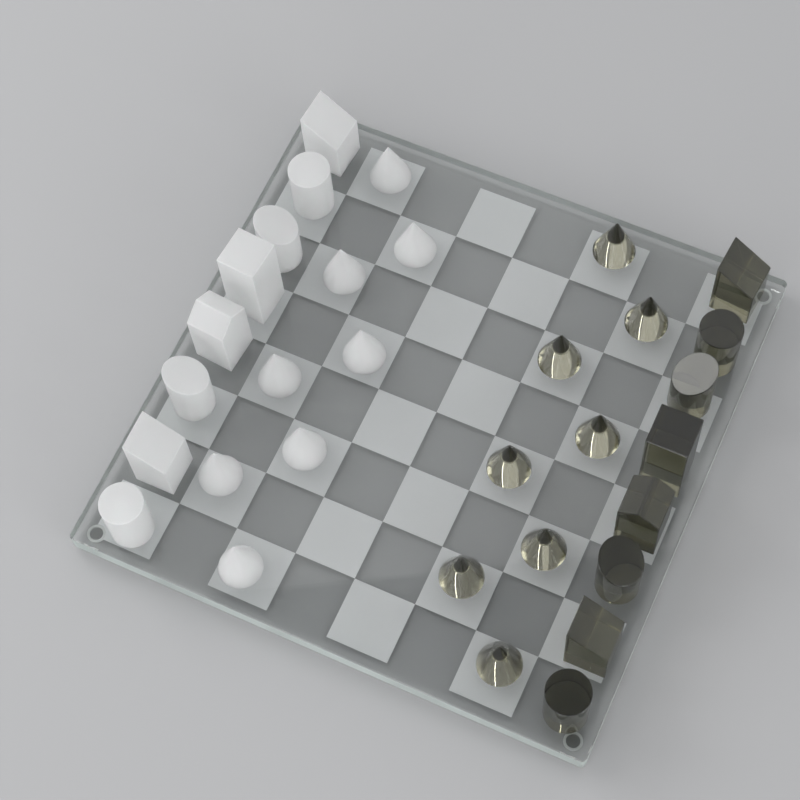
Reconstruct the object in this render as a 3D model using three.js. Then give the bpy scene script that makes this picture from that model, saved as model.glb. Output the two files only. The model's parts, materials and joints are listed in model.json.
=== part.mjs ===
// A glass chess set: a thick clear plate with an etched checker, four bumper feet, and 32 solid
// glass men, 16 frosted and 16 smoke. Millimetres, +Z up. The origin is at the middle of the
// footprint, on the surface that the feet stand on. X runs from the frosted side to the smoke
// side, and Y runs away from the player who sits at the front.
import * as THREE from "three";
import { ConvexGeometry } from "three/addons/geometries/ConvexGeometry.js";

// ---- The board ----
const FILES = 8; // squares along each side
const SQUARE = 41.25; // side of one etched square
const BOARD_MARGIN = 10; // clear glass between the checker and the plate's edge
const PLATE_THICKNESS = 15;
const PLATE_CORNER_RADIUS = 3; // the plate's upright corners
const PLATE_CHAMFER = 0.8; // ground arris along the plate's top and bottom edges
const CORNER_STEPS = 6; // facets round each upright corner

// ---- The feet ----
const FOOT_DIAMETER = 12;
const FOOT_HEIGHT = 3;
const FOOT_INSET = 12; // from the plate's edges to a foot's centre
const FOOT_DRAFT = 1.5; // how much smaller a foot's underside is, on its radius
const FOOT_ADHESIVE = 0.3; // adhesive film between a foot and the plate

// ---- The men ----
const EDGE = 0.5; // polished chamfer along every edge of a man
const ROUND_DIAMETER = 28; // rooks and bishops
const PAWN_DIAMETER = 28.5;
const PAWN_HEIGHT = 36;
const PAWN_TIP_DIAMETER = 1.2; // the blunted point
const PAWN_TIP_RISE = 0.4; // from the end of the cone up to the very top
const ROOK_HEIGHT = 42;
const BISHOP_HEIGHT = 48; // at the high side of the slant
const BISHOP_FALL = 15; // from the high side to the low side
const BLOCK_SIDE = 27; // kings, queens and knights, square in plan
const KING_HEIGHT = 65;
const QUEEN_HEIGHT = 54.5; // at the ridge
const QUEEN_FALL = 9.5; // from the ridge down to the eaves
const KNIGHT_HEIGHT = 51.5; // at the high side
const KNIGHT_FALL = 17.5; // from the high side to the low side
const STANDING_GAP = 0.3; // between a man's underside and the plate
const FACETS = 36; // sides of every round solid

const BOARD_SIDE = FILES * SQUARE + 2 * BOARD_MARGIN;
const PLATE_BOTTOM = FOOT_HEIGHT + FOOT_ADHESIVE;
const PLATE_TOP = PLATE_BOTTOM + PLATE_THICKNESS;
const STANDING_HEIGHT = PLATE_TOP + STANDING_GAP;
const NUDGE = SQUARE / 20; // the step in which a man stands off the middle of its square

// ---- Finishes ----
const clearGlass = () =>
  new THREE.MeshStandardMaterial({ color: 0x8f9694, roughness: 0.05, metalness: 0 });
const bumperRubber = () =>
  new THREE.MeshStandardMaterial({ color: 0xd4d6d2, roughness: 0.35, metalness: 0 });
const frostedGlass = () =>
  new THREE.MeshStandardMaterial({ color: 0xe4e6e2, roughness: 0.6, metalness: 0 });
const smokeGlass = () =>
  new THREE.MeshStandardMaterial({ color: 0x4a483c, roughness: 0.06, metalness: 0 });

// ---- Solids ----

// A turned solid about +Z from its profile, given as [radius, height] pairs from axis to axis.
function turned(profile) {
  const points = profile.map(([radius, height]) => new THREE.Vector2(radius, height));
  return new THREE.LatheGeometry(points, FACETS).rotateX(Math.PI / 2);
}

// A ring of points about +Z, each at the height that heightAt gives for its x.
function ring(radius, heightAt) {
  const points = [];
  for (let facet = 0; facet < FACETS; facet += 1) {
    const angle = (2 * Math.PI * facet) / FACETS;
    const x = radius * Math.cos(angle);
    points.push(new THREE.Vector3(x, radius * Math.sin(angle), heightAt(x)));
  }
  return points;
}

// A flat face drawn in from all its edges by the same distance.
function drawnIn(corners, distance) {
  return corners.map((corner, index) => {
    const before = corners[(index + corners.length - 1) % corners.length];
    const after = corners[(index + 1) % corners.length];
    const toBefore = before.clone().sub(corner).normalize();
    const toAfter = after.clone().sub(corner).normalize();
    const reach = distance / Math.sin(toBefore.angleTo(toAfter));
    return corner.clone().addScaledVector(toBefore.add(toAfter), reach);
  });
}

// A square block, its side view given by its top line as [x, height] pairs from +X to -X.
// The hull of its drawn-in faces has a chamfer along every edge.
function block(topLine) {
  const half = BLOCK_SIDE / 2;
  const outline = [[-half, 0], [half, 0], ...topLine];
  const sideView = (y) => outline.map(([x, z]) => new THREE.Vector3(x, y, z));
  const front = sideView(-half);
  const back = sideView(half);
  const faces = [front, back];
  outline.forEach((_, index) => {
    const next = (index + 1) % outline.length;
    faces.push([front[index], front[next], back[next], back[index]]);
  });
  return new ConvexGeometry(faces.flatMap((face) => drawnIn(face, EDGE)));
}

// ---- The plate and its feet ----

// A square plate with rounded upright corners and chamfered top and bottom edges.
function plateGeometry() {
  const reach = BOARD_SIDE / 2 - PLATE_CORNER_RADIUS;
  const outline = new THREE.Shape();
  for (let quarter = 0; quarter < 4; quarter += 1) {
    const start = (quarter * Math.PI) / 2;
    const middle = start + Math.PI / 4;
    const x = Math.sign(Math.cos(middle)) * reach;
    const y = Math.sign(Math.sin(middle)) * reach;
    outline.absarc(x, y, PLATE_CORNER_RADIUS, start, start + Math.PI / 2, false);
  }
  const geometry = new THREE.ExtrudeGeometry(outline, {
    depth: PLATE_THICKNESS - 2 * PLATE_CHAMFER,
    bevelEnabled: true,
    bevelSegments: 1,
    bevelThickness: PLATE_CHAMFER,
    bevelSize: PLATE_CHAMFER,
    bevelOffset: -PLATE_CHAMFER,
    curveSegments: CORNER_STEPS,
    steps: 1,
  });
  return geometry.translate(0, 0, PLATE_CHAMFER);
}

function footGeometry() {
  const radius = FOOT_DIAMETER / 2;
  return turned([
    [0, 0],
    [radius - FOOT_DRAFT, 0],
    [radius, FOOT_DRAFT],
    [radius, FOOT_HEIGHT],
    [0, FOOT_HEIGHT],
  ]);
}

// ---- The six forms of men, each standing on z = 0 ----

function pawnGeometry() {
  const radius = PAWN_DIAMETER / 2;
  return turned([
    [0, 0],
    [radius - EDGE, 0],
    [radius, EDGE],
    [PAWN_TIP_DIAMETER / 2, PAWN_HEIGHT - PAWN_TIP_RISE],
    [0, PAWN_HEIGHT],
  ]);
}

function rookGeometry() {
  const radius = ROUND_DIAMETER / 2;
  return turned([
    [0, 0],
    [radius - EDGE, 0],
    [radius, EDGE],
    [radius, ROOK_HEIGHT - EDGE],
    [radius - EDGE, ROOK_HEIGHT],
    [0, ROOK_HEIGHT],
  ]);
}

// A cylinder whose top is one slanted plane, low towards +X.
function bishopGeometry() {
  const radius = ROUND_DIAMETER / 2;
  const slantAt = (x) => BISHOP_HEIGHT - (BISHOP_FALL * (x + radius)) / ROUND_DIAMETER;
  return new ConvexGeometry([
    ...ring(radius - EDGE, () => 0),
    ...ring(radius, () => EDGE),
    ...ring(radius, (x) => slantAt(x) - EDGE),
    ...ring(radius - EDGE, slantAt),
  ]);
}

function kingGeometry() {
  const half = BLOCK_SIDE / 2;
  return block([[half, KING_HEIGHT], [-half, KING_HEIGHT]]);
}

// A gabled block, with its ridge along Y.
function queenGeometry() {
  const half = BLOCK_SIDE / 2;
  const eaves = QUEEN_HEIGHT - QUEEN_FALL;
  return block([[half, eaves], [0, QUEEN_HEIGHT], [-half, eaves]]);
}

// A block whose top is one slanted plane, low towards +X.
function knightGeometry() {
  const half = BLOCK_SIDE / 2;
  return block([[half, KNIGHT_HEIGHT - KNIGHT_FALL], [-half, KNIGHT_HEIGHT]]);
}

const FORMS = {
  pawn: pawnGeometry,
  rook: rookGeometry,
  bishop: bishopGeometry,
  knight: knightGeometry,
  queen: queenGeometry,
  king: kingGeometry,
};

// ---- Where the men stand ----
// Each man: its name, form, square (column from the frosted edge, row from the front edge),
// how many nudges it stands off the middle of that square along X and Y, and its turn in degrees.

const FROSTED_MEN = [
  ["rook_front", "rook", 0, 0, 2, -4, 0],
  ["knight_front", "knight", 0, 1, 2, -3, 0],
  ["bishop_front", "bishop", 0, 2, 0, 1, 35],
  ["queen", "queen", 0, 3, 0, 2, 85],
  ["king", "king", 0, 4, 2, 1, -5],
  ["bishop_back", "bishop", 0, 5, 2, -1, 20],
  ["rook_back", "rook", 0, 6, 3, 1, 0],
  ["knight_back", "knight", 0, 7, 1, 0, -5],
  ["pawn_1", "pawn", 2, 0, -2, -2, 0],
  ["pawn_2", "pawn", 1, 1, -1, 2, 0],
  ["pawn_3", "pawn", 2, 2, -1, 0, 0],
  ["pawn_4", "pawn", 1, 3, 1, -1, 0],
  ["pawn_5", "pawn", 2, 4, 2, -3, 0],
  ["pawn_6", "pawn", 1, 5, 4, 0, 0],
  ["pawn_7", "pawn", 2, 6, 1, -2, 0],
  ["pawn_8", "pawn", 1, 7, 2, 0, 0],
];

const SMOKE_MEN = [
  ["rook_front", "rook", 7, 0, 4, -3, 0],
  ["knight_front", "knight", 7, 1, 4, -3, 0],
  ["bishop_front", "bishop", 7, 2, 3, -1, -30],
  ["queen", "queen", 7, 3, 3, -2, 0],
  ["king", "king", 7, 4, 3, -2, 0],
  ["bishop_back", "bishop", 7, 5, 1, 3, 210],
  ["rook_back", "rook", 7, 6, 3, 0, 0],
  ["knight_back", "knight", 7, 7, 2, 2, -5],
  ["pawn_1", "pawn", 6, 0, 1, 2, 0],
  ["pawn_2", "pawn", 5, 1, 0, 2, 0],
  ["pawn_3", "pawn", 6, 2, -1, 0, 0],
  ["pawn_4", "pawn", 5, 3, -1, 0, 0],
  ["pawn_5", "pawn", 6, 4, 0, 0, 0],
  ["pawn_6", "pawn", 5, 5, -1, 0, 0],
  ["pawn_7", "pawn", 6, 6, -1, 3, 0],
  ["pawn_8", "pawn", 5, 7, 0, 3, 0],
];

// ---- Assembly ----

const chessSet = new THREE.Group();

const plate = new THREE.Mesh(plateGeometry(), clearGlass());
plate.name = "board_plate";
plate.position.z = PLATE_BOTTOM;
chessSet.add(plate);

const footReach = BOARD_SIDE / 2 - FOOT_INSET;
for (const [row, y] of [["front", -footReach], ["back", footReach]]) {
  for (const [side, x] of [["left", -footReach], ["right", footReach]]) {
    const foot = new THREE.Mesh(footGeometry(), bumperRubber());
    foot.name = `foot_${row}_${side}`;
    foot.position.set(x, y, 0);
    chessSet.add(foot);
  }
}

// One side's men, each a mesh of its own on its square.
function standMen(side, men, finish) {
  const group = new THREE.Group();
  group.position.z = STANDING_HEIGHT;
  for (const [name, form, column, row, nudgesX, nudgesY, degrees] of men) {
    const man = new THREE.Mesh(FORMS[form](), finish());
    man.name = `${side}_${name}`;
    const middleX = (column - (FILES - 1) / 2) * SQUARE;
    const middleY = (row - (FILES - 1) / 2) * SQUARE;
    man.position.set(middleX + nudgesX * NUDGE, middleY + nudgesY * NUDGE, 0);
    man.rotation.z = THREE.MathUtils.degToRad(degrees);
    group.add(man);
  }
  return group;
}

chessSet.add(standMen("frosted", FROSTED_MEN, frostedGlass));
chessSet.add(standMen("smoke", SMOKE_MEN, smokeGlass));

export default chessSet;
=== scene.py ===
# %% [markdown]
# # A glass chess set
#
# The set is a thick clear glass plate on four bumper feet, with a checker etched into the
# plate's underside, and 32 solid glass men: 16 frosted and 16 smoke. The men are plain
# geometric forms. Pawns are cones, rooks are cylinders, bishops are cylinders with a slanted
# top, knights are blocks with a slanted top, queens are gabled blocks and kings are tall blocks.
#
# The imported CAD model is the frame. Every piece below is measured from the CAD node that it
# stands for, so nothing has to be fitted by hand.

import json
import math

import bmesh
import bpy
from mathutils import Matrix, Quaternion, Vector


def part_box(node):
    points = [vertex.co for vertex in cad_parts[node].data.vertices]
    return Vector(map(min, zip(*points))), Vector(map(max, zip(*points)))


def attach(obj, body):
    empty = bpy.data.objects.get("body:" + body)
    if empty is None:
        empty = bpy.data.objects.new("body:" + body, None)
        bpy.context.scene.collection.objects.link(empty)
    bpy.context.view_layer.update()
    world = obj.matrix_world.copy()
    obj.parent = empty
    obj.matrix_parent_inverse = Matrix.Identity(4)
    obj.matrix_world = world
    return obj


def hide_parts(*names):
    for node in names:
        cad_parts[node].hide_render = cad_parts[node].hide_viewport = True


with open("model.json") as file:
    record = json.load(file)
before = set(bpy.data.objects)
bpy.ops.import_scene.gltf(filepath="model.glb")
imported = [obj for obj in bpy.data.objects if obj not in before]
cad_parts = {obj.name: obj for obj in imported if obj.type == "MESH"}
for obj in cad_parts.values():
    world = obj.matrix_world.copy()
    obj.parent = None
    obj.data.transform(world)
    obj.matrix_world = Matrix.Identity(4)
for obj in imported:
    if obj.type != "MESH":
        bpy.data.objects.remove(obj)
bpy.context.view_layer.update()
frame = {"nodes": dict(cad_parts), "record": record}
MM = 0.001

# %% [markdown]
# ## The camera
# The set is seen from high above its front right, through a long lens, with the camera
# turned a little about its own axis. The camera is placed by the point that it looks at,
# two angles and a distance, because those are what a photographer would write down.

# %% Camera
AIM = Vector((-0.0231, -0.0053, 0.0183))
AZIMUTH = math.radians(30.2)
ELEVATION = math.radians(65.43)
TWIST = math.radians(-6.0)
DISTANCE = 1.185
LENS = 82.8
SENSOR = 36.0

towards_camera = Vector(
    (
        math.sin(AZIMUTH) * math.cos(ELEVATION),
        -math.cos(AZIMUTH) * math.cos(ELEVATION),
        math.sin(ELEVATION),
    )
)
camera = bpy.data.objects.new("camera", bpy.data.cameras.new("camera"))
camera.data.lens = LENS
camera.data.sensor_width = SENSOR
camera.rotation_mode = "QUATERNION"
camera.location = AIM + towards_camera * DISTANCE
camera.rotation_quaternion = towards_camera.to_track_quat("Z", "Y") @ Quaternion(
    (0, 0, 1), TWIST
)
bpy.context.scene.collection.objects.link(camera)
bpy.context.scene.camera = camera
print("camera stands at", [round(c, 3) for c in camera.location])

# %% [markdown]
# ## Shader arithmetic
# A finish is easier to read as arithmetic than as a list of nodes. A Wire is one output
# socket, and + and * on it add Math nodes. A Finish is one material, and its node method
# adds any other node: the settings first, then a value or a wire for each input.


# %% Wires and finishes
class Wire:
    """An output socket that takes part in arithmetic. Each operator adds a Math node."""

    def __init__(self, finish, socket):
        self.finish = finish
        self.socket = socket

    def _with(self, operation, first, second):
        return self.finish.node("Math", {"operation": operation}, {0: first, 1: second})

    def __add__(self, other):
        return self._with("ADD", self, other)

    def __radd__(self, other):
        return self._with("ADD", other, self)

    def __mul__(self, other):
        return self._with("MULTIPLY", self, other)

    def __rmul__(self, other):
        return self._with("MULTIPLY", other, self)


class Finish:
    """One material, or the world, while its nodes are being built."""

    def __init__(self, owner):
        self.owner = owner
        owner.use_nodes = True
        self.tree = owner.node_tree
        self.tree.nodes.clear()

    def node(self, kind, settings, inputs, output=0):
        """Adds a node: its settings first, then its inputs. Returns one output as a Wire."""
        made = self.tree.nodes.new("ShaderNode" + kind)
        for name, value in settings.items():
            if name == "stops":
                for _ in value[2:]:
                    made.color_ramp.elements.new(1.0)
                for stop, (position, colour) in zip(made.color_ramp.elements, value):
                    stop.position, stop.color = position, (*colour, 1)
            else:
                setattr(made, name, value)
        for name, value in inputs.items():
            if isinstance(value, Wire):
                self.tree.links.new(value.socket, made.inputs[name])
            else:
                made.inputs[name].default_value = value
        return Wire(self, made.outputs[output])

    def noise(self, size, detail=2.0, stretch=(1, 1, 1)):
        """Noise from 0 to 1 whose blotches are about size metres across, in the set's frame."""
        place = self.node("TexCoord", {}, {}, "Object")
        scaled = self.node("VectorMath", {"operation": "MULTIPLY"}, {0: place, 1: stretch})
        inputs = {"Vector": scaled, "Scale": 1 / size, "Detail": detail}
        return self.node("TexNoise", {}, inputs)

    def tint(self, factor, first, second):
        """A colour between two others. A Mix node's colours are its inputs 6 and 7."""
        inputs = {0: factor, 6: (*first, 1), 7: (*second, 1)}
        return self.node("Mix", {"data_type": "RGBA"}, inputs, 2)

    def bump(self, height, depth):
        """A normal from a height wire that stands for depth metres of relief."""
        return self.node("Bump", {}, {"Height": height, "Distance": depth, "Strength": 1.0})

    def done(self, **shaders):
        """Links the shaders to the output node and gives back the material or the world."""
        made = self.tree.nodes.new("ShaderNodeOutput" + type(self.owner).__name__)
        for name, wire in shaders.items():
            self.tree.links.new(wire.socket, made.inputs[name])
        print("finish:", self.owner.name, "with", len(self.tree.nodes), "nodes")
        return self.owner


def new_finish(name):
    """A finish for a new material."""
    return Finish(bpy.data.materials.new(name))


# %% [markdown]
# ## The table and the light
# Glass shows what is round it, so the table is plain and the lights are placed by what they
# mirror in. Large soft screens to the left, to the right and in front light the frosted men. A
# faint canopy hangs high behind, and beside it a narrow bright strip draws a line down each
# smoke pawn. Overhead the room is dim, so that the flat tops and the checker aren't washed
# out. The front screen is dim too, because the plate mirrors it to a viewer behind the set.

# %% Table
TABLE_HALF = 20.0
TABLE_COLOUR = (0.45, 0.45, 0.455)
TABLE_ROUGHNESS = 0.6
TABLE_SHINE = 0.3
MOTTLE_SIZE = 0.9
MOTTLE_GAIN = 1.04

table_finish = new_finish("table_paint")
mottle = table_finish.noise(MOTTLE_SIZE, 1.0)
paint = table_finish.node(
    "BsdfPrincipled",
    {},
    {
        "Base Color": table_finish.tint(
            mottle, TABLE_COLOUR, tuple(c * MOTTLE_GAIN for c in TABLE_COLOUR)
        ),
        "Roughness": TABLE_ROUGHNESS,
        "Specular IOR Level": TABLE_SHINE,
    },
)
table_mesh = bpy.data.meshes.new("table")
table_mesh.from_pydata(
    [(x * TABLE_HALF, y * TABLE_HALF, 0) for x, y in ((-1, -1), (1, -1), (1, 1), (-1, 1))],
    [],
    [(0, 1, 2, 3)],
)
table_mesh.materials.append(table_finish.done(Surface=paint))
table = bpy.data.objects.new("table", table_mesh)
bpy.context.scene.collection.objects.link(table)

# %% Lights
# The room's brightness by height, from the horizon (0) to overhead (1).
ROOM = [(0.0, (1.08, 1.09, 1.10)), (0.45, (0.90, 0.91, 0.92)), (0.90, (0.33, 0.335, 0.345))]
# Each light: its name, where it stands, its two sides in metres and its brightness.
LIGHTS = [
    ("window_left", (-1.35, 0.05, 1.25), (1.4, 0.8), 3.2),
    ("screen_right", (1.66, -0.55, 0.80), (1.2, 0.9), 2.2),
    ("canopy_back", (-0.50, 0.87, 1.73), (1.3, 1.0), 0.5),
    ("strip_back", (0.247, 0.923, 1.882), (0.02, 1.6), 13.0),
    ("screen_front", (-0.10, -1.50, 0.50), (1.5, 0.85), 1.6),
]

room = Finish(bpy.data.worlds.new("studio"))
heading = room.node("TexCoord", {}, {}, "Generated")
up = room.node("SeparateXYZ", {}, {"Vector": heading}, "Z")
glow = room.node("ValToRGB", {"stops": ROOM}, {"Fac": up})
background = room.node("Background", {}, {"Color": glow, "Strength": 1.0})
bpy.context.scene.world = room.done(Surface=background)
for name, place, (width, height), brightness in LIGHTS:
    light = bpy.data.lights.new(name, "AREA")
    light.shape = "RECTANGLE"
    light.size, light.size_y = width, height
    # The power grows with the area, so that a brightness means the same at every size.
    light.energy = brightness * math.pi * width * height
    lamp = bpy.data.objects.new(name, light)
    lamp.location = place
    lamp.rotation_mode = "QUATERNION"
    lamp.rotation_quaternion = Vector(place).to_track_quat("Z", "Y")
    lamp.visible_camera = False
    bpy.context.scene.collection.objects.link(lamp)
bpy.context.scene.view_settings.view_transform = "Standard"
print("lights:", [name for name, *_ in LIGHTS])

# %% [markdown]
# ## Clear glass
# The plate is float glass, clear and polished on its faces. A polished face isn't perfect:
# wiping leaves it very slightly hazy in long faint patches, so the roughness wanders a
# little. The plate's narrow sides are only ground, not polished, so they are satin, and
# light comes a long way through the glass to reach them, so they look greener. They have a
# finish of their own for that, and the narrow arris along them is polished like the faces.

# %% Clear glass and its sides
GLASS_IOR = 1.52
CLEAR_TINT = ((0.905, 0.925, 0.917), (0.925, 0.940, 0.933))
SIDE_TINT = ((0.66, 0.74, 0.71), (0.74, 0.81, 0.78))
# Each kind of mark: how wide it is in metres, and how it is stretched.
WIPED = (0.05, (1, 0.35, 1))
GROUND = (0.0007, (1, 1, 0.2))
FACE_ROUGHNESS = 0.006
SIDE_ROUGHNESS = 0.35
SIDE_CLEARNESS = 0.5


def plate_finish(name, tints, marks, roughness, clearness):
    """Glass between two tints, with wiping or grinding marks in its roughness."""
    finish = new_finish(name)
    size, stretch = marks
    marked = finish.noise(size, 3.0, stretch)
    inputs = {
        "Base Color": finish.tint(marked, *tints),
        "Roughness": roughness * (0.5 + marked),
        "IOR": GLASS_IOR,
        "Transmission Weight": clearness,
    }
    return finish.done(Surface=finish.node("BsdfPrincipled", {}, inputs))


clear_glass = plate_finish("clear_glass_face", CLEAR_TINT, WIPED, FACE_ROUGHNESS, 1.0)
side_glass = plate_finish("clear_glass_side", SIDE_TINT, GROUND, SIDE_ROUGHNESS, SIDE_CLEARNESS)

# %% [markdown]
# ## Etched squares
# The light squares are etched into the underside with acid, which leaves a satin skin of
# tiny pits. Some light scatters straight back from it as white and the rest goes through,
# blurred. A Principled shader does both when its transmission is partial. Fine noise makes
# the pits, and broad noise makes the faint clouds that an etching bath leaves. Where a foot
# is stuck over a corner square its adhesive fills the pits, so the glass is clear there. All
# four feet are one circle once the coordinates lose their signs.

# %% Etched finish
ETCH_CLEARNESS = 0.06
ETCH_WHITE = ((0.94, 0.95, 0.955), (0.975, 0.98, 0.985))
ETCH_ROUGHNESS = 0.42
ETCH_UNEVENNESS = 0.16
ETCH_CLOUD = 30 * MM
ETCH_DEPTH = 0.03 * MM
GRAIN = 0.4 * MM
WETTED_ROUGHNESS = 0.02

foot_low, foot_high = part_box("foot_back_right")
foot_middle = (foot_low + foot_high) / 2
foot_radius = (foot_high.x - foot_low.x) / 2

etched = new_finish("etched_glass")
clouds = etched.noise(ETCH_CLOUD, 4.0)
pits = etched.noise(GRAIN, 2.0)
satin = {
    "Base Color": etched.tint(clouds, *ETCH_WHITE),
    "Roughness": ETCH_ROUGHNESS + ETCH_UNEVENNESS * clouds,
    "IOR": GLASS_IOR,
    "Transmission Weight": ETCH_CLEARNESS,
    "Normal": etched.bump(pits, ETCH_DEPTH),
}
wetted = {
    "Base Color": etched.tint(clouds, *CLEAR_TINT),
    "Roughness": WETTED_ROUGHNESS,
    "IOR": GLASS_IOR,
    "Transmission Weight": 1.0,
}
place = etched.node("TexCoord", {}, {}, "Object")
unsigned = etched.node("VectorMath", {"operation": "ABSOLUTE"}, {0: place})
level = etched.node("VectorMath", {"operation": "MULTIPLY"}, {0: unsigned, 1: (1, 1, 0)})
middle = (foot_middle.x, foot_middle.y, 0)
away = etched.node("VectorMath", {"operation": "DISTANCE"}, {0: level, 1: middle}, "Value")
under_foot = etched.node("Math", {"operation": "LESS_THAN"}, {0: away, 1: foot_radius})
shaders = {
    0: under_foot,
    1: etched.node("BsdfPrincipled", {}, satin),
    2: etched.node("BsdfPrincipled", {}, wetted),
}
etched_glass = etched.done(Surface=etched.node("MixShader", {}, shaders))

# %% [markdown]
# ## Frosted men
# These are clear glass inside, blasted all over until they are satin white. Light goes in
# anywhere, wanders and comes out elsewhere, so the blocks glow softly and their sides are
# brightest near the base. Subsurface scattering gives the glow, a share of transmission
# gives the depth, and blotches and pits in the blasted skin give the surface. The edges
# were eased after blasting, so they are smoother and catch a thin bright line.

# %% Frosted finish and its eased edges
FROST_ROUGHNESS, FROST_CLEARNESS = 0.5, 0.5
EASED_ROUGHNESS, EASED_CLEARNESS = 0.35, 0.35
UNEVENNESS = 0.1
FROST_WHITE = ((0.955, 0.965, 0.958), (0.985, 0.99, 0.985))
EASED_WHITE = ((0.96, 0.97, 0.965), (0.985, 0.99, 0.985))
SCATTER_REACH = (16 * MM, 17 * MM, 16.5 * MM)
FROST_IOR = 1.45
FROST_BLOTCH = 12 * MM
FACE_PITS = 0.04 * MM
EDGE_PITS = 0.01 * MM


def frosted_finish(name, whites, roughness, clearness, relief):
    """Satin glass that glows: its two whites, how rough, how clear, how deep its pits are."""
    finish = new_finish(name)
    blotches = finish.noise(FROST_BLOTCH, 3.0)
    skin = finish.noise(GRAIN, 2.0)
    inputs = {
        "Base Color": finish.tint(blotches, *whites),
        "Roughness": roughness + UNEVENNESS * blotches,
        "IOR": FROST_IOR,
        "Subsurface Weight": 1.0,
        "Subsurface Radius": SCATTER_REACH,
        "Subsurface Scale": 1.0,
        "Transmission Weight": clearness,
        "Normal": finish.bump(skin, relief),
    }
    return finish.done(Surface=finish.node("BsdfPrincipled", {}, inputs))


frosted_glass = frosted_finish(
    "frosted_glass_face", FROST_WHITE, FROST_ROUGHNESS, FROST_CLEARNESS, FACE_PITS
)
eased_glass = frosted_finish(
    "frosted_glass_edge", EASED_WHITE, EASED_ROUGHNESS, EASED_CLEARNESS, EDGE_PITS
)

# %% [markdown]
# ## Smoke men
# Smoke glass is coloured all the way through: a thin part looks khaki and a tall man seen
# from above looks nearly black. Volume absorption does exactly that, because it takes away
# more light the further the light goes. The surface itself is only clear polished glass. The
# back row gets a denser glass than the pawns as painted shade, because the pale table sends
# light up through the tall men from below, and at the pawns' density they would look too light.

# %% Smoke glass
SMOKE_TINTS = ((0.97, 0.965, 0.95), (1.0, 1.0, 0.99))
SMOKE_COLOUR = (0.50, 0.485, 0.34)
SMOKE_DENSITY = 55.0
# The denser glass of the tall men is painted shade.
SHADED_SMOKE_DENSITY = 82.0
CRYSTAL_IOR = 1.62
STREAK_WIDTH = 20 * MM
POLISH_ROUGHNESS = 0.01


def smoke_finish(name, density):
    """Polished lead crystal that takes away light by the metre."""
    finish = new_finish(name)
    streaks = finish.noise(STREAK_WIDTH, 2.0, (1, 1, 0.3))
    inputs = {
        "Base Color": finish.tint(streaks, *SMOKE_TINTS),
        "Roughness": streaks * POLISH_ROUGHNESS,
        "IOR": CRYSTAL_IOR,
        "Transmission Weight": 1.0,
    }
    body = {"Color": (*SMOKE_COLOUR, 1), "Density": density}
    return finish.done(
        Surface=finish.node("BsdfPrincipled", {}, inputs),
        Volume=finish.node("VolumeAbsorption", {}, body),
    )


smoke_glass = smoke_finish("smoke_glass_body", SMOKE_DENSITY)
shaded_smoke_glass = smoke_finish("smoke_glass_shaded", SHADED_SMOKE_DENSITY)

# %% [markdown]
# ## Bumper feet
# Each foot is a stick-on dome of clear soft polyurethane, a little hazy and very slightly
# yellow. Its rounded side and the rim of its top have a milky finish that is a painted
# highlight, so through the plate it shows as a bright ring round a clear middle.

# %% Bumper finishes
BUMPER_TINTS = ((0.88, 0.89, 0.88), (0.96, 0.97, 0.95))
BUMPER_IOR = 1.48
BUMPER_HAZE = 2 * MM


def bumper_finish(name, roughness, clearness):
    """Soft clear polyurethane, as rough and as clear as it is told."""
    finish = new_finish(name)
    haze = finish.noise(BUMPER_HAZE, 2.0)
    inputs = {
        "Base Color": finish.tint(haze, *BUMPER_TINTS),
        "Roughness": roughness + UNEVENNESS * haze,
        "IOR": BUMPER_IOR,
        "Transmission Weight": clearness,
    }
    return finish.done(Surface=finish.node("BsdfPrincipled", {}, inputs))


bumper_middle = bumper_finish("bumper_clear", 0.1, 0.75)
# The milky finish is a painted highlight for the bright ring that each foot shows.
bumper_highlight_ring = bumper_finish("bumper_milky_highlight", 0.3, 0.1)

# %% [markdown]
# ## From points to pieces
# Each piece is one closed mesh in the set's own frame. Glass bends light by its surface
# normals, so wide flat faces stay flat-shaded, and only turned walls and rounded edges are
# smooth. The last step names the CAD node the piece stands for, its body and its finish.


# %% Finishing a piece
def finish_piece(name, mesh, node, materials):
    """Makes a mesh into the piece that stands for a CAD node."""
    for material in materials:
        mesh.materials.append(material)
    piece = bpy.data.objects.new(name, mesh)
    bpy.context.scene.collection.objects.link(piece)
    body = next(b for b, nodes in frame["record"]["behaviour"]["bodies"].items() if node in nodes)
    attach(piece, body)
    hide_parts(node)
    return piece


def closed_mesh(name, points, faces, smooth, finishes):
    """A mesh from points and faces, with each face's shading and finish number."""
    mesh = bpy.data.meshes.new(name)
    mesh.from_pydata(points, [], faces)
    mesh.polygons.foreach_set("use_smooth", smooth)
    mesh.polygons.foreach_set("material_index", finishes)
    mesh.update()
    return mesh


# %% [markdown]
# ## Rings
# The plate, the feet and the round men are all stacks of closed rings with a flat cap at
# each end. A rounded edge is a quarter circle of rings. On the round men a guard ring close
# to each rounded edge holds the wall's own normals straight, so the wall doesn't bend light.


# %% Stacking rings
SIDES = 144


def quarter(steps):
    """Cosine and sine pairs along a quarter circle."""
    angles = [math.pi / 2 * step / steps for step in range(steps + 1)]
    return [(math.cos(a), math.sin(a)) for a in angles]


def turned(profile, x, y, base):
    """Rings from a profile of reach and rise, turned round an upright axis."""
    turn = [2 * math.pi * side / SIDES for side in range(SIDES)]
    return [
        [(x + reach * math.cos(a), y + reach * math.sin(a), base + rise) for a in turn]
        for reach, rise in profile
    ]


def stacked(rings, flat_bands=(), edge_bands=(), edge_finish=0):
    """Points, faces, shading and finishes of equally long rings, lowest first, with flat caps."""
    count = len(rings[0])
    points = [point for ring in rings for point in ring]
    faces, smooth, finishes = [], [], []
    for level in range(len(rings) - 1):
        for i in range(count):
            here, there = level * count + i, level * count + (i + 1) % count
            faces.append((here, there, there + count, here + count))
            smooth.append(level not in flat_bands)
            finishes.append(edge_finish if level in edge_bands else 0)
    faces += [tuple(range(count))[::-1], tuple(range(len(points) - count, len(points)))]
    return points, faces, smooth + [False, False], finishes + [0, 0]


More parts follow.
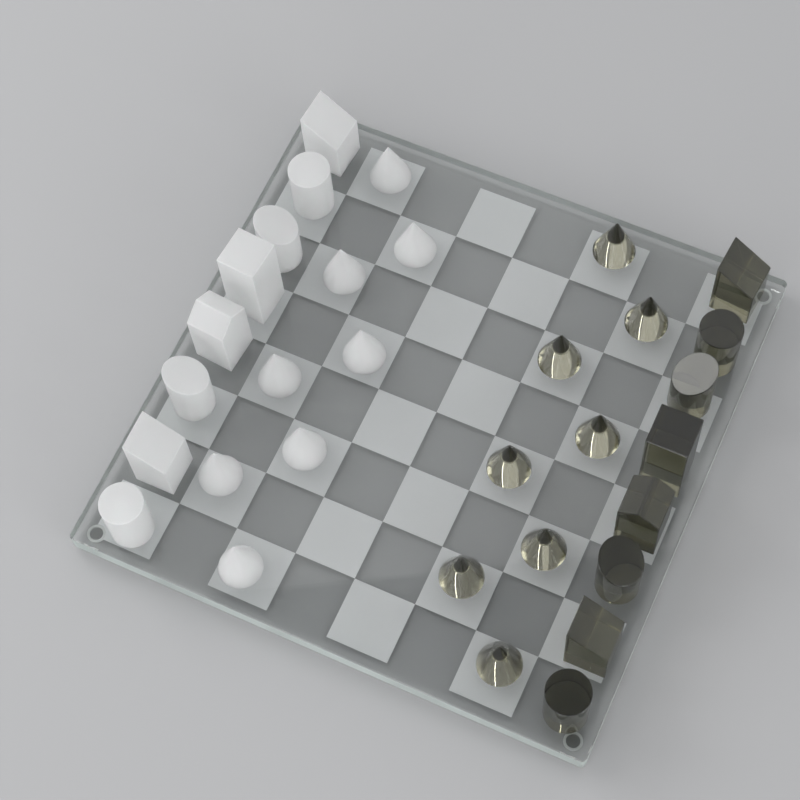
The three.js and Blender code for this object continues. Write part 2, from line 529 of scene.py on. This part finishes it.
# %% [markdown]
# ## The round men
# A rook or bishop is a ground rod with its edges eased. The radius, the axis and the plane
# of the top are measured from the CAD node. A bishop's rings near the top follow its slant.

# %% Measuring a CAD node
EASE = 0.5 * MM
EASE_STEPS = 5
GUARD = 0.15 * MM
# A face over a square centimetre is wide. Triangles are one face when they look the same way
# and lie in the same plane, within these limits.
WIDE = 100 * MM * MM
SAME_WAY = 0.9998
SAME_PLANE = 0.1 * MM


def flat_faces(node):
    """A node's wide flat faces: the outward normal, centre and area of each."""
    mesh = frame["nodes"][node].data
    mesh.calc_loop_triangles()
    groups = []
    for triangle in mesh.loop_triangles:
        a, b, c = (mesh.vertices[v].co for v in triangle.vertices)
        normal = (b - a).cross(c - a)
        area = normal.length / 2
        if area == 0:
            continue
        normal.normalize()
        centre = (a + b + c) / 3
        for group in groups:
            offset = abs(group[0].dot(centre - group[1]))
            if group[0].dot(normal) > SAME_WAY and offset < SAME_PLANE:
                group[1] = (group[1] * group[2] + centre * area) / (group[2] + area)
                group[2] += area
                break
        else:
            groups.append([normal, centre, area])
    return [group for group in groups if group[2] > WIDE]


def axis_and_radius(node):
    """The middle of a round node in plan, its lowest height and its radius."""
    low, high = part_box(node)
    middle = (low + high) / 2
    spread = [(v.co - middle).to_2d().length for v in frame["nodes"][node].data.vertices]
    return middle.x, middle.y, low.z, max(spread)


print("wide faces of a knight:", len(flat_faces("smoke_knight_back")))
print("a rook's radius in mm:", round(axis_and_radius("smoke_rook_back")[3] / MM, 2))


# %% Rooks and bishops
def rod_man(node, eased_finish):
    """A cylinder with eased edges whose top follows the CAD node's top plane."""
    x, y, base, radius = axis_and_radius(node)
    normal, centre, _ = max(flat_faces(node), key=lambda face: face[0].z)

    def top_at(px, py):
        """The height of the top plane over a point."""
        return centre.z - (normal.x * (px - centre.x) + normal.y * (py - centre.y)) / normal.z

    def ring(reach, height, from_top):
        """A ring at a height above the base, or at a depth below the top plane."""
        made = []
        for side in range(SIDES):
            angle = 2 * math.pi * side / SIDES
            px, py = x + reach * math.cos(angle), y + reach * math.sin(angle)
            made.append((px, py, top_at(px, py) - height if from_top else base + height))
        return made

    rings = [ring(radius - EASE + EASE * s, EASE * (1 - c), False) for c, s in quarter(EASE_STEPS)]
    rings.append(ring(radius, EASE + GUARD, False))
    rings.append(ring(radius, EASE + GUARD, True))
    rings += [ring(radius - EASE + EASE * c, EASE * (1 - s), True) for c, s in quarter(EASE_STEPS)]
    last = len(rings) - 1
    edges = [*range(EASE_STEPS), *range(last - EASE_STEPS, last)]
    return closed_mesh(node, *stacked(rings, (), edges, eased_finish))


# %% [markdown]
# ## The pawns
# A pawn is a cone with an eased foot and a blunted point. The straight wall runs from
# where the foot's rounding ends to where the point's rounding begins.

# %% Pawns
POINT_RADIUS = 0.7 * MM


def cone_man(node, eased_finish):
    """A cone inside the CAD node's box, with a rounded foot and point."""
    x, y, base, radius = axis_and_radius(node)
    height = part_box(node)[1].z - base
    lean = math.atan2(height, radius)
    wall = (math.sin(lean), math.cos(lean))
    foot_centre = radius - EASE
    profile = []
    for step in range(EASE_STEPS + 1):
        angle = -math.pi / 2 + (math.pi - lean) * step / EASE_STEPS
        profile.append((foot_centre + EASE * math.cos(angle), EASE + EASE * math.sin(angle)))
    foot_r, foot_z = profile[-1]
    tip_z = height - POINT_RADIUS
    tip = (POINT_RADIUS * wall[0], tip_z + POINT_RADIUS * wall[1])
    guard = Vector((tip[0] - foot_r, tip[1] - foot_z)).normalized() * GUARD
    profile.append((foot_r + guard.x, foot_z + guard.y))
    profile.append((tip[0] - guard.x, tip[1] - guard.y))
    for step in range(EASE_STEPS):
        angle = math.pi / 2 - lean + lean * step / EASE_STEPS
        profile.append((POINT_RADIUS * math.cos(angle), tip_z + POINT_RADIUS * math.sin(angle)))
    rings = turned(profile, x, y, base)
    return closed_mesh(node, *stacked(rings, (), range(EASE_STEPS), eased_finish))


# %% [markdown]
# ## The block men
# Kings, queens and knights are sawn blocks. Cutting a big cube along each of the CAD node's
# wide flat faces gives the sharp block whatever its form, and one bevel eases every edge. A
# frosted block's edges are eased to a small round, and a polished smoke block's edges are
# ground to one flat chamfer, which can glint as a whole line.


# %% Kings, queens and knights
def block_man(node, eased_finish):
    """A block cut by the CAD node's wide faces, rounded or flatly chamfered along every edge."""
    low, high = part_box(node)
    shape = bmesh.new()
    bmesh.ops.create_cube(shape, size=4 * max(high - low))
    bmesh.ops.translate(shape, verts=shape.verts, vec=(low + high) / 2)
    for normal, centre, _ in flat_faces(node):
        everything = shape.verts[:] + shape.edges[:] + shape.faces[:]
        cut = bmesh.ops.bisect_plane(
            shape, geom=everything, plane_co=centre, plane_no=normal, clear_outer=True
        )
        rim = [part for part in cut["geom_cut"] if isinstance(part, bmesh.types.BMEdge)]
        bmesh.ops.edgeloop_fill(shape, edges=rim)
    bmesh.ops.recalc_face_normals(shape, faces=shape.faces)
    bmesh.ops.bevel(
        shape,
        geom=shape.edges[:],
        offset=EASE,
        segments=EASE_STEPS if eased_finish else 1,
        profile=0.5,
        affect="EDGES",
        clamp_overlap=True,
    )
    for face in shape.faces:
        narrow = face.calc_area() < WIDE
        face.smooth = narrow and bool(eased_finish)
        face.material_index = eased_finish if narrow else 0
    mesh = bpy.data.meshes.new(node)
    shape.to_mesh(mesh)
    shape.free()
    return mesh


# %% [markdown]
# ## Setting out the men
# Three makers shape the six forms, so one loop makes all 32 men. The CAD node's name says
# both the side and the form. A man's main finish comes first, and its eased edges take the
# last one, which on a smoke man is the same glass.

# %% All 32 men
MAKERS = {
    "pawn": cone_man,
    "rook": rod_man,
    "bishop": rod_man,
    "knight": block_man,
    "queen": block_man,
    "king": block_man,
}


def finishes_of(side, form):
    """The finishes of a man."""
    if side == "frosted":
        return [frosted_glass, eased_glass]
    # The tall smoke men take the denser glass, which is painted shade.
    return [smoke_glass if form == "pawn" else shaded_smoke_glass]


for side in ("frosted", "smoke"):
    made = []
    for node in sorted(n for n in frame["nodes"] if n.startswith(side + "_")):
        form = node.split("_")[1]
        glass = finishes_of(side, form)
        mesh = MAKERS[form](node, len(glass) - 1)
        made.append(finish_piece(node + "_man", mesh, node, glass))
    print(side, "men:", len(made), "with", sum(len(m.data.vertices) for m in made), "points")

# %% [markdown]
# ## The feet
# From the table up: a flat disc, a rounded side that widens, a short rim with its corner
# taken off, and the flat top that is stuck to the plate. The side and the top near its rim
# take the milky finish, a painted highlight.

# %% Bumper feet
FOOT_SIDE_STEPS = 8
FOOT_RIM = 0.5 * MM
FOOT_CHAMFER = 0.15 * MM
# The clear middle of a foot's top, as a share of its radius.
FOOT_MIDDLE = 0.72
NEAR_TABLE = 0.1 * MM


def foot_mesh(node):
    """A bumper foot with a rounded side, between the CAD foot's two radii."""
    x, y, base, radius = axis_and_radius(node)
    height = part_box(node)[1].z - base
    flat = [
        (v.co.to_2d() - Vector((x, y))).length
        for v in frame["nodes"][node].data.vertices
        if v.co.z < base + NEAR_TABLE
    ]
    rest = max(flat)
    profile = [
        (rest + (radius - rest) * s, (height - FOOT_RIM) * (1 - c))
        for c, s in quarter(FOOT_SIDE_STEPS)
    ]
    profile += [(radius, height - FOOT_CHAMFER), (radius - FOOT_CHAMFER, height)]
    profile.append((radius * FOOT_MIDDLE, height))
    rings = turned(profile, x, y, base)
    bands = len(rings) - 1
    # The side bands and the top's rim take the milky finish, a painted highlight; the two caps
    # stay clear.
    return closed_mesh(node, *stacked(rings, [bands - 1], range(bands), 1))


feet = []
bumper_glaze = [bumper_middle, bumper_highlight_ring]
for node in sorted(n for n in frame["nodes"] if n.startswith("foot_")):
    name = node.replace("foot", "bumper")
    feet.append(finish_piece(name, foot_mesh(node), node, bumper_glaze))
print("feet:", len(feet))

# %% [markdown]
# ## The plate
# The plate is rings too: rounded corners, upright sides, and a flat ground arris along the
# top and bottom. That cap is cut into an 8 by 8 grid of faces with a plain border, and the
# light squares take the etched finish, so the pattern is part of the glass and not a layer
# laid on it.

# %% Plate outline
FILES = 8
ARRIS = 0.8 * MM
CORNER_RADIUS = 3.0 * MM
CORNER_STEPS = 10
MARGIN = 10 * MM
CLEAR, ETCHED, SIDE = 0, 1, 2

plate_low, plate_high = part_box("board_plate")
half_side = (plate_high.x - plate_low.x) / 2
checker_half = half_side - MARGIN
print("squares in mm:", round(2 * checker_half / FILES / MM, 2))


def plate_ring(inset, height):
    """The plate's outline drawn in by inset, starting with the back right corner's arc."""
    radius = CORNER_RADIUS - inset
    centre = half_side - CORNER_RADIUS
    made = []
    for corner in range(4):
        for step in range(CORNER_STEPS + 1):
            angle = (corner + step / CORNER_STEPS) * math.pi / 2
            cx = centre * (1 if corner in (0, 3) else -1)
            cy = centre * (1 if corner in (0, 1) else -1)
            made.append((cx + radius * math.cos(angle), cy + radius * math.sin(angle), height))
    return made


# %% Plate with its etched checker
arris = quarter(1)
low, high = plate_low.z, plate_high.z
rings = [plate_ring(ARRIS - ARRIS * s, low + ARRIS * (1 - c)) for c, s in arris]
rings += [plate_ring(ARRIS - ARRIS * c, high - ARRIS * (1 - s)) for c, s in arris]
upright = len(arris) - 1
points, faces, smooth, finishes = stacked(rings, (), [upright], SIDE)
# The straight stretches between the corners are flat.
ring_size = len(rings[0])
for face in range(len(faces) - 2):
    smooth[face] = face % ring_size % (CORNER_STEPS + 1) != CORNER_STEPS

# The lower cap gives way to the border and the squares.
del faces[-2], smooth[-2], finishes[-2]
grid_start = len(points)
steps = [checker_half * (2 * i / FILES - 1) for i in range(FILES + 1)]
points += [(sx, sy, low) for sy in steps for sx in steps]


def grid(column, row):
    """The number of the point at a corner of the checker's grid."""
    return grid_start + row * (FILES + 1) + column


def add_under(face, finish):
    """Adds a face to the underside, turned to look down."""
    faces.append(tuple(face)[::-1])
    smooth.append(False)
    finishes.append(finish)


for row in range(FILES):
    for column in range(FILES):
        square = (
            grid(column, row),
            grid(column + 1, row),
            grid(column + 1, row + 1),
            grid(column, row + 1),
        )
        add_under(square, ETCHED if (row + column) % 2 == 0 else CLEAR)
rim = [
    [grid(FILES, i) for i in range(FILES + 1)],
    [grid(FILES - i, FILES) for i in range(FILES + 1)],
    [grid(0, FILES - i) for i in range(FILES + 1)],
    [grid(i, 0) for i in range(FILES + 1)],
]
for corner in range(4):
    first = corner * (CORNER_STEPS + 1)
    arc = list(range(first, first + CORNER_STEPS + 1))
    add_under([rim[corner][-1], *arc], CLEAR)
    before = (first - 1) % ring_size
    add_under([before, first, *rim[corner][::-1]], CLEAR)

plate_mesh = closed_mesh("plate", points, faces, smooth, finishes)
plate_glass = [clear_glass, etched_glass, side_glass]
finish_piece("etched_plate", plate_mesh, "board_plate", plate_glass)
print("plate:", len(plate_mesh.polygons), "faces,", finishes.count(ETCHED), "etched squares")
